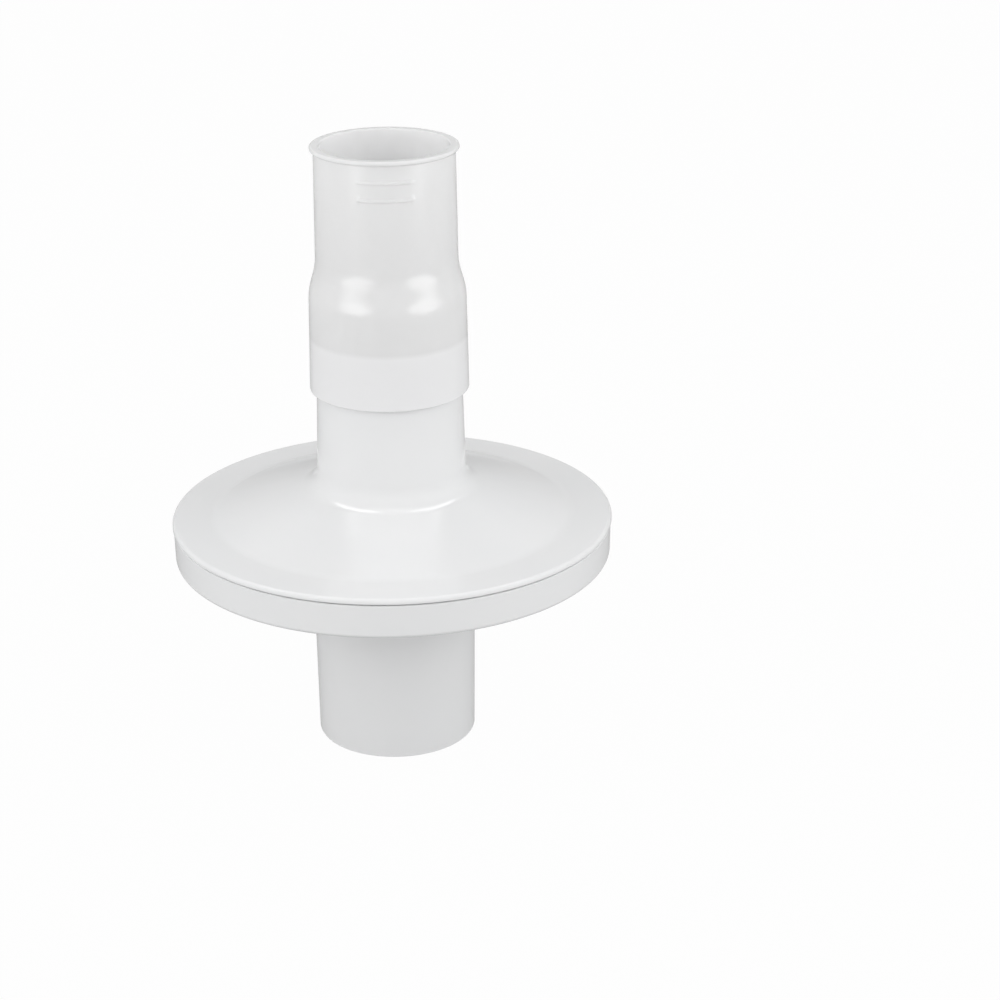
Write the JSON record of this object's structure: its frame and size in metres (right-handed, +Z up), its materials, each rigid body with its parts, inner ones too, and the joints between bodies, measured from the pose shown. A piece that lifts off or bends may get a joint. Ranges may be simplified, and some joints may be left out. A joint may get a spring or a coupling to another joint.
{
  "type": "spirometry filter",
  "caption": "Round white breathing filter housing with a tapered patient port, a straight device port and a milky push-on mouthpiece with a lip.",
  "frame": {"origin": "centre of the device port's open end, on the surface that the part stands on", "axes": "+Z up along the common axis, from the device port to the mouthpiece's lip; +Y points away from the viewer of the picture, through the rear pair of bite ribs"},
  "size_m": [0.0912, 0.0912, 0.127],
  "materials": {
    "housing_white": "glossy injection-moulded white ABS",
    "media_white": "matt electret non-woven",
    "mouthpiece_milky": "milky translucent polypropylene, satin gloss"
  },
  "bodies": {
    "filter": {"device_shell": "housing_white", "patient_shell": "housing_white", "filter_media": "media_white"},
    "mouthpiece": {"mouthpiece": "mouthpiece_milky"}
  },
  "joints": [
    {"name": "mouthpiece_pull_off", "type": "slide", "parent": "filter", "child": "mouthpiece", "axis": [0, 0, 1], "range_m": [0, 0.02]}
  ]
}
